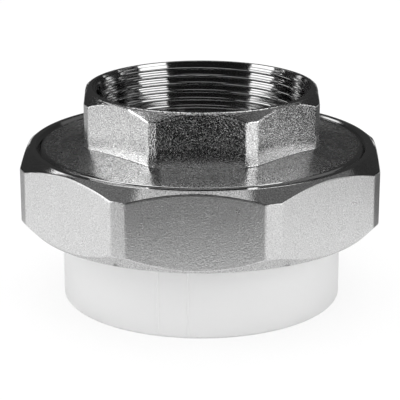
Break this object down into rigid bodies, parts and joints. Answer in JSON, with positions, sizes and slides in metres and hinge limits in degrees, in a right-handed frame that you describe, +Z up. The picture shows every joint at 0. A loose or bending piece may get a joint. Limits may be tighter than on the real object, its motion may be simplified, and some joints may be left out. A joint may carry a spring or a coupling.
{
  "type": "pipe union",
  "caption": "Pipe union: a white plastic fusion socket and a plated brass tailpiece with a female pipe thread, drawn together on a flat gasket by an octagonal nut.",
  "frame": {"origin": "centre of the socket's mouth, on the surface the fitting stands on", "axes": "+Z up along the pipe axis towards the threaded end, -Y towards the viewer, within a degree of square to one flat of the tailpiece's neck"},
  "size_m": [0.0978, 0.0978, 0.0594],
  "materials": {
    "white_plastic": "satin moulded polypropylene",
    "gasket_rubber": "matt moulded rubber",
    "plated_brass": "nickel plated, shot blasted on the outside and turned on threads and faces"
  },
  "bodies": {
    "socket": {"socket": "white_plastic", "gasket": "gasket_rubber"},
    "nut": {"union_nut": "plated_brass"},
    "tail": {"tailpiece": "plated_brass"}
  },
  "joints": [
    {"name": "nut_turn", "type": "hinge", "parent": "socket", "child": "nut", "pos_m": [0, 0, 0.032], "axis": [0, 0, -1], "range_deg": [0, 1440]},
    {"name": "tail_lift", "type": "slide", "parent": "socket", "child": "tail", "axis": [0, 0, 1], "range_m": [0, 0.008]}
  ],
  "couplings": [
    {"joint": "tail_lift", "follows": "nut_turn", "m_per_rad": 0.00031831}
  ]
}
